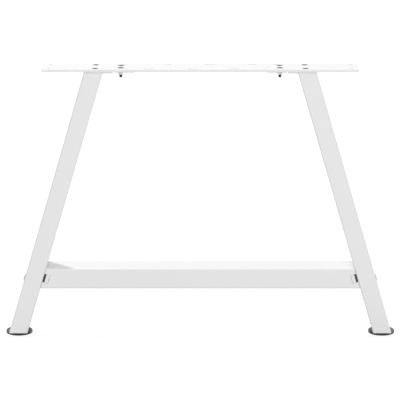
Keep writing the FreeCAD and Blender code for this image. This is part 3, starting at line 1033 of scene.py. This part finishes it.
@dataclass
class Stretcher:
    """The low tube between the legs, with its windows, their covers and the bolts at its ends."""

    wardrobe: Wardrobe
    leg: LegLine
    bolt: BoltShape
    level: float = 158.8 * MM
    height: float = 55.0 * MM
    over_length: float = 10.0 * MM
    mitre_depth: float = 40.0 * MM
    mitre_spare: float = 5.0 * MM
    window_width: float = 15.3 * MM
    window_height: float = 23.3 * MM
    window_rise: float = 2.4 * MM
    window_corner: float = 1.0 * MM
    window_spare: float = 5.0 * MM
    cover_near: float = 5.3 * MM
    cover_play: float = 0.8 * MM
    cover_back: float = 1.0 * MM
    cover_corner: float = 0.6 * MM
    cover_edge: float = 0.15 * MM
    hook_reach: float = 2.0 * MM
    hook_root: float = 1.0 * MM
    hook_width: float = 4.0 * MM
    hook_inset: float = 4.0 * MM
    bolt_y: float = 22.0 * MM
    bolt_top: float = 4.8 * MM
    bolt_length: float = 15.8 * MM
    bolt_plain: float = 2.0 * MM
    edge: float = 0.3 * MM

    def mitre(self, low: float, high: float) -> Piece:
        """A cutter for all that lies beyond the right leg's inner face between two heights.

        Args:
            low: Height of its lower end.
            high: Height of its upper end.

        Returns:
            The cutter.
        """
        face, deep = self.leg.inner(low)[0], self.leg.depth
        cutter = block("mitre", (face, -deep, low), (face + self.mitre_depth, deep, high))
        lean = (self.leg.inner(high)[0] - face, 0.0, 0.0)
        shift_corners(cutter, lambda place: place.z > (low + high) / 2, lean)
        return cutter

    def beside_leg(self, piece: Piece) -> None:
        """Sets a piece for the window beside the right leg, square to the leg's inner face."""
        self.leg.aim(piece, self.leg.inner(self.level + self.window_rise))

    def window(self) -> Piece:
        """A cutter for the window beside the right leg.

        Returns:
            The cutter, which goes through the front and the back.
        """
        half, deep = self.window_height / 2, self.leg.depth
        cutter = block("window", (-half, -deep, -self.window_width), (half, deep, self.window_spare))
        round_edges(cutter, self.window_corner, 4, lambda place: place.z < 0, runs_along(Axis.Y))
        self.beside_leg(cutter)
        return cutter

    def build(self) -> None:
        """Makes the tube, the covers of its windows and its bolts."""
        low, high = self.level - self.height / 2, self.level + self.height / 2
        reach, deep = self.leg.inner(low)[0] + self.over_length, self.leg.depth / 2
        tube = block("stretcher", (-reach, -deep, low), (reach, deep, high))
        round_edges(tube, self.leg.corner, 8, anywhere, runs_along(Axis.X))
        hollow_out(tube, Axis.X, self.leg.wall)
        for cutter in (self.mitre(low - self.mitre_spare, high + self.mitre_spare), self.window()):
            for own in with_left_copies([cutter]):
                cut(tube, own)
        soften_edges(tube, self.edge)
        self.wardrobe.hand_over(tube, Slot.COAT, Part.FRAME, ["stretcher_tube"])
        self.covers()
        self.fixings()

    def covers(self) -> None:
        """Makes the caps that close the windows up to the end plates, with their snap hooks."""
        front = -self.leg.depth / 2
        wall = front + self.leg.wall
        back = wall + self.cover_back
        half, near = self.window_height / 2 - self.cover_play, -self.cover_near
        far = self.cover_play - self.window_width
        face = block("cover_face", (-half, front, far), (half, wall, near))
        round_edges(face, self.cover_corner, 4, lambda place: place.z < near - SPARE, runs_along(Axis.Y))
        pieces = [face, block("cover_back", (-half, wall, far), (half, back, near))]
        grip, middle = self.hook_width / 2, (near + far) / 2
        end, tip = -self.window_width - self.hook_reach, self.window_height / 2 + self.hook_reach
        for way in (-1, 1):
            x = way * (half - self.hook_inset)
            pieces.append(block("end_hook", (x - grip, wall, end), (x + grip, back, far + self.hook_root)))
            edges = sorted((way * (half - self.hook_root), way * tip))
            low, high = (edges[0], wall, middle - grip), (edges[1], back, middle + grip)
            pieces.append(block("side_hook", low, high))
        for piece in pieces:
            soften_edges(piece, self.cover_edge)
        cover = join("cover", pieces)
        self.beside_leg(cover)
        all_four = with_left_copies([cover, mirror_copy(cover, "back_cover", Axis.Y)])
        covers = join("snap_in_covers", all_four)
        self.wardrobe.hand_over(covers, Slot.COVER, Part.FRAME, ["window_covers"])

    def fixings(self) -> None:
        """Sets the countersunk bolts that hold the tube's end plates to the legs."""
        bolt = self.bolt.make("cross_bolt", self.bolt_top, self.bolt_length, self.bolt_plain)
        self.leg.aim(bolt, self.leg.inner(self.level), inwards=True)
        bolts = with_left_copies(copies_at(bolt, [(0.0, row * self.bolt_y, 0.0) for row in (-1, 1)]))
        discard(bolt)
        self.wardrobe.hand_over(join("cross_bolts", bolts), Slot.BLACK, Part.FRAME, ["stretcher_bolts"])


@dataclass
class TopBolts:
    """Countersunk bolts through the top plate, and the nuts under the tongues."""

    wardrobe: Wardrobe
    places: BoltPlaces
    bolt: BoltShape
    top: float = 719.8 * MM
    length: float = 24.8 * MM
    plain: float = 8.0 * MM
    nut_across: float = 13.0 * MM
    nut_face: float = 12.35 * MM
    nut_chamfer: float = radians(30.0)
    nut_clearance: float = 0.075 * MM
    nut_height: float = 6.5 * MM
    nut_top: float = 709.0 * MM
    nut_play: float = 0.05 * MM
    nut_mouth: float = 0.65 * MM
    nut_edge: float = 0.15 * MM

    def nut(self) -> Piece:
        """Makes one hexagonal nut about the Z axis, with the round chamfer of both its ends.

        Returns:
            The nut at its height.
        """
        low, high = self.nut_top - self.nut_height, self.nut_top
        corner, face = hexagon_corner(self.nut_across), self.nut_face / 2
        clear = corner + self.nut_clearance
        drop = (corner - face) * tan(self.nut_chamfer)
        nut = bar("nut", corner, low, high, sides=6)
        ends = [(face, low), (clear, low + drop), (clear, high - drop), (face, high)]
        cut(nut, turned("nut_chamfer", ends, sides=60), keep_inside=True)
        bore, lip = self.bolt.radius + self.nut_play, self.nut_mouth
        wide = bore + 2 * lip
        rings = [(wide, low - lip), (bore, low + lip), (bore, high - lip), (wide, high + lip)]
        cut(nut, turned("nut_bore", rings))
        soften_edges(nut, self.nut_edge, degrees=50.0)
        return nut

    def build(self) -> None:
        """Sets the bolts in the plate's seats and the nuts under the tongues."""
        bolt = self.bolt.make("top_bolt", self.top, self.length, self.plain)
        nut = self.nut()
        for model, places, slot, node in (
            (bolt, self.places.legs(), Slot.BLACK, "leg_bolts"),
            (bolt, self.places.tongues(), Slot.BLACK, "tongue_bolts"),
            (nut, self.places.tongues(), Slot.ZINC, "tongue_nuts"),
        ):
            group = join(f"set_of_{node}", copies_at(model, places))
            self.wardrobe.hand_over(group, slot, Part.FRAME, [node])
        discard(bolt, nut)


@dataclass
class LevellingFoot:
    """A round plastic pad on a threaded stud, under each leg."""

    wardrobe: Wardrobe
    leg: LegLine
    thread_length: float = 28.0 * MM
    stud_radius: float = 5.0 * MM
    pitch: float = 1.5 * MM

    def pad(self) -> Piece:
        """Makes the pad about the Z axis, with shallow rings under it and a socket for the stud.

        Returns:
            The pad.
        """
        under = [(8.0, 0.5), (9.0, 0.0), (17.0, 0.0), (18.0, 0.5), (20.0, 0.5), (21.0, 0.0), (33.6, 0.0)]
        rim = [(34.6, 0.3), (35.0, 1.0), (35.0, 5.3), (34.8, 6.0), (34.3, 6.6), (33.4, 6.95)]
        top = [(32.4, 7.0), (13.0, 7.0), (12.4, 6.8), (5.4, 6.8)]
        socket = [(5.3, 6.6), (5.3, 5.3), (9.3, 5.3), (9.3, 2.0)]
        pad = turned("pad", in_mm(under + rim + top + socket), sides=96)
        smooth(pad)
        return pad

    def stud(self) -> Piece:
        """Makes the stud about the Z axis: head, neck, collar and thread.

        Returns:
            The stud.
        """
        head = [(8.6, 2.3), (9.0, 2.6), (9.0, 4.8), (8.7, 5.0)]
        neck = [(5.0, 5.0), (5.0, 7.3)]
        collar = [(7.8, 7.3), (8.0, 7.5), (8.0, 8.3), (7.8, 8.5)]
        core = [(4.2, 8.5), (4.2, 9.5)]
        stem = turned("stem", in_mm(head + neck + collar + core))
        smooth(stem)
        low = self.leg.sole
        thread = threaded("stud_thread", self.stud_radius, self.pitch, low, low + self.thread_length)
        smooth(thread)
        return join("stud", [stem, thread])

    def build(self) -> None:
        """Stands a pad and a stud under each leg."""
        pad, stud = self.pad(), self.stud()
        foot = self.leg.axis(self.leg.sole)
        for side in Side:
            for model, slot, body in ((pad, Slot.FOOT, "foot"), (stud, Slot.ZINC, "foot_screw")):
                own = copy_at(model, f"{side.label}_{model.name}", (side.value * foot, 0.0, 0.0))
                node = f"{side.label}_foot_{model.name}"
                self.wardrobe.hand_over(own, slot, Part(f"{side.label}_{body}"), [node])
        discard(pad, stud)


@dataclass(frozen=True)
class SoftLamp:
    """A round soft lamp: its way from the frame, distance, size, power, and whether gloss shows it."""

    name: str
    way: Point
    distance: float
    size: float
    power: float
    shines: bool = True


def seen_directly(nodes: bpy.types.Nodes, links: bpy.types.NodeLinks) -> bpy.types.NodeSocket:
    """Adds nodes that tell the rays of the camera, of gloss and of glass from those of light.

    Args:
        nodes: The tree's nodes.
        links: The tree's links.

    Returns:
        A socket that is 1 for rays that show a surface and 0 for rays that light one.
    """
    path = nodes.new("ShaderNodeLightPath")
    total = path.outputs["Is Camera Ray"]
    for name in ("Is Glossy Ray", "Is Transmission Ray"):
        either = nodes.new("ShaderNodeMath")
        either.operation = "MAXIMUM"
        links.new(total, either.inputs[0])
        links.new(path.outputs[name], either.inputs[1])
        total = either.outputs["Value"]
    return total


@dataclass
class Studio:
    """The pale floor, the soft light and the camera at the photograph's angle."""

    camera_place: Point = (0.0, -5.9, 1.85)
    camera_pitch: float = radians(75.83)
    lens: float = 208.05
    sensor: float = 36.0
    shift: tuple[float, float] = (-0.00075, 0.0025)
    sight: float = 200.0
    dome: float = 0.47
    lamp_aim: Point = (0.0, 0.0, 0.35)
    key: SoftLamp = SoftLamp(
        name="key_light", way=(-0.219, 0.449, 0.866), distance=8.0, size=0.6, power=308.0
    )
    front: SoftLamp = SoftLamp(
        name="front_light", way=(0.16, -0.9, 0.33), distance=12.0, size=8.0, power=730.0, shines=False
    )
    floor_span: float = 40.0
    floor_color: float = 0.45
    floor_lift: float = 0.72

    def world(self) -> None:
        """Makes an even dome of light that cameras and gloss see as white."""
        world = bpy.data.worlds.new("studio")
        bpy.context.scene.world = world
        world.use_nodes = True
        nodes, links = world.node_tree.nodes, world.node_tree.links
        nodes.clear()
        output = nodes.new("ShaderNodeOutputWorld")
        mix = nodes.new("ShaderNodeMixShader")
        links.new(seen_directly(nodes, links), mix.inputs["Fac"])
        for number, strength in enumerate((self.dome, 1.0), start=1):
            shade = nodes.new("ShaderNodeBackground")
            shade.inputs["Color"].default_value = WHITE
            shade.inputs["Strength"].default_value = strength
            links.new(shade.outputs["Background"], mix.inputs[number])
        links.new(mix.outputs["Shader"], output.inputs["Surface"])

    def floor(self) -> None:
        """Makes a pale floor that keeps the shadow and is lifted to white where a ray shows it."""
        deselect()
        bpy.ops.mesh.primitive_plane_add(size=self.floor_span)
        floor = bpy.context.object
        floor.name = "studio_floor"
        made = bpy.data.materials.new("pale_floor")
        made.use_nodes = True
        nodes, links = made.node_tree.nodes, made.node_tree.links
        nodes.clear()
        output = nodes.new("ShaderNodeOutputMaterial")
        matt = nodes.new("ShaderNodeBsdfDiffuse")
        matt.inputs["Color"].default_value = (*(self.floor_color,) * 3, 1.0)
        glow = nodes.new("ShaderNodeEmission")
        glow.inputs["Color"].default_value = WHITE
        lift = nodes.new("ShaderNodeMath")
        lift.operation = "MULTIPLY"
        lift.inputs[1].default_value = self.floor_lift
        links.new(seen_directly(nodes, links), lift.inputs[0])
        links.new(lift.outputs["Value"], glow.inputs["Strength"])
        both = nodes.new("ShaderNodeAddShader")
        links.new(matt.outputs["BSDF"], both.inputs[0])
        links.new(glow.outputs["Emission"], both.inputs[1])
        links.new(both.outputs["Shader"], output.inputs["Surface"])
        floor.data.materials.append(made)

    def lamp(self, lamp: SoftLamp) -> None:
        """Hangs a round soft lamp that faces the frame.

        Args:
            lamp: The lamp's name, place, size and power.
        """
        way = Vector(lamp.way).normalized()
        deselect()
        bpy.ops.object.light_add(type="AREA", location=Vector(self.lamp_aim) + way * lamp.distance)
        light = bpy.context.object
        light.name = lamp.name
        light.data.shape = "DISK"
        light.data.size = lamp.size
        light.data.energy = lamp.power
        light.visible_glossy = lamp.shines
        light.rotation_euler = way.to_track_quat("Z", "Y").to_euler()

    def camera(self) -> None:
        """Sets up the camera."""
        deselect()
        bpy.ops.object.camera_add(location=self.camera_place, rotation=(self.camera_pitch, 0.0, 0.0))
        camera = bpy.context.object
        camera.data.lens = self.lens
        camera.data.sensor_width = self.sensor
        camera.data.shift_x, camera.data.shift_y = self.shift
        camera.data.clip_end = self.sight
        bpy.context.scene.camera = camera

    def build(self) -> None:
        """Makes the whole studio."""
        bpy.context.scene.view_settings.view_transform = "Standard"
        self.world()
        self.floor()
        for lamp in (self.key, self.front):
            self.lamp(lamp)
        self.camera()


def main() -> None:
    logging.basicConfig(level=logging.INFO, format="%(message)s")
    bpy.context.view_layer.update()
    wardrobe = Wardrobe()
    wardrobe.dress_nodes(frame["nodes"], frame["record"])
    leg, bolts, shape = LegLine(), BoltPlaces(), BoltShape()
    for group in (
        TopPlate(wardrobe, bolts),
        HeadFlange(wardrobe, bolts, leg),
        LegTube(wardrobe, leg),
        Stretcher(wardrobe, leg, shape),
        TopBolts(wardrobe, bolts, shape),
        LevellingFoot(wardrobe, leg),
        Studio(),
    ):
        group.build()
        LOG.info("built %s", type(group).__name__)
    deselect()


if __name__ == "__main__":
    main()
